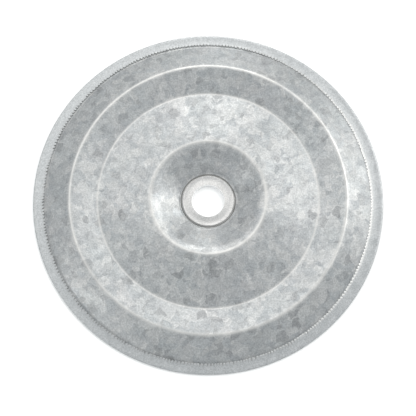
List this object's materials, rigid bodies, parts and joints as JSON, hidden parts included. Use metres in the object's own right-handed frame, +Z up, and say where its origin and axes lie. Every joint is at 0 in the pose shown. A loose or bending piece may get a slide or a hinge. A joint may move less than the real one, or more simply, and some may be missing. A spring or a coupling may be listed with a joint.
{
  "type": "oil drain pan",
  "caption": "Shallow round pressed galvanised steel drain pan with concentric rings, a pleated binding round its rim and a flanged collar in its open central drain hole.",
  "frame": {"origin": "on the floor under the middle of the pan, in the plane of the rim binding's underside", "axes": "+Z up along the pan's and the drain hole's axis, out of the open side; X and Y are alike, because the pan is round"},
  "size_m": [0.4065, 0.4066, 0.0219],
  "materials": {
    "galvanised_steel": "hot-dip galvanised, spangled",
    "binding_steel": "smooth zinc-coated, dull",
    "collar_steel": "smooth zinc-plated, satin",
    "seal_rubber": "matt"
  },
  "bodies": {
    "root": {"pan_shell": "galvanised_steel", "rim_binding": "binding_steel", "drain_collar": "collar_steel", "sealing_ring": "seal_rubber", "backing_ring": "collar_steel"}
  },
  "joints": []
}
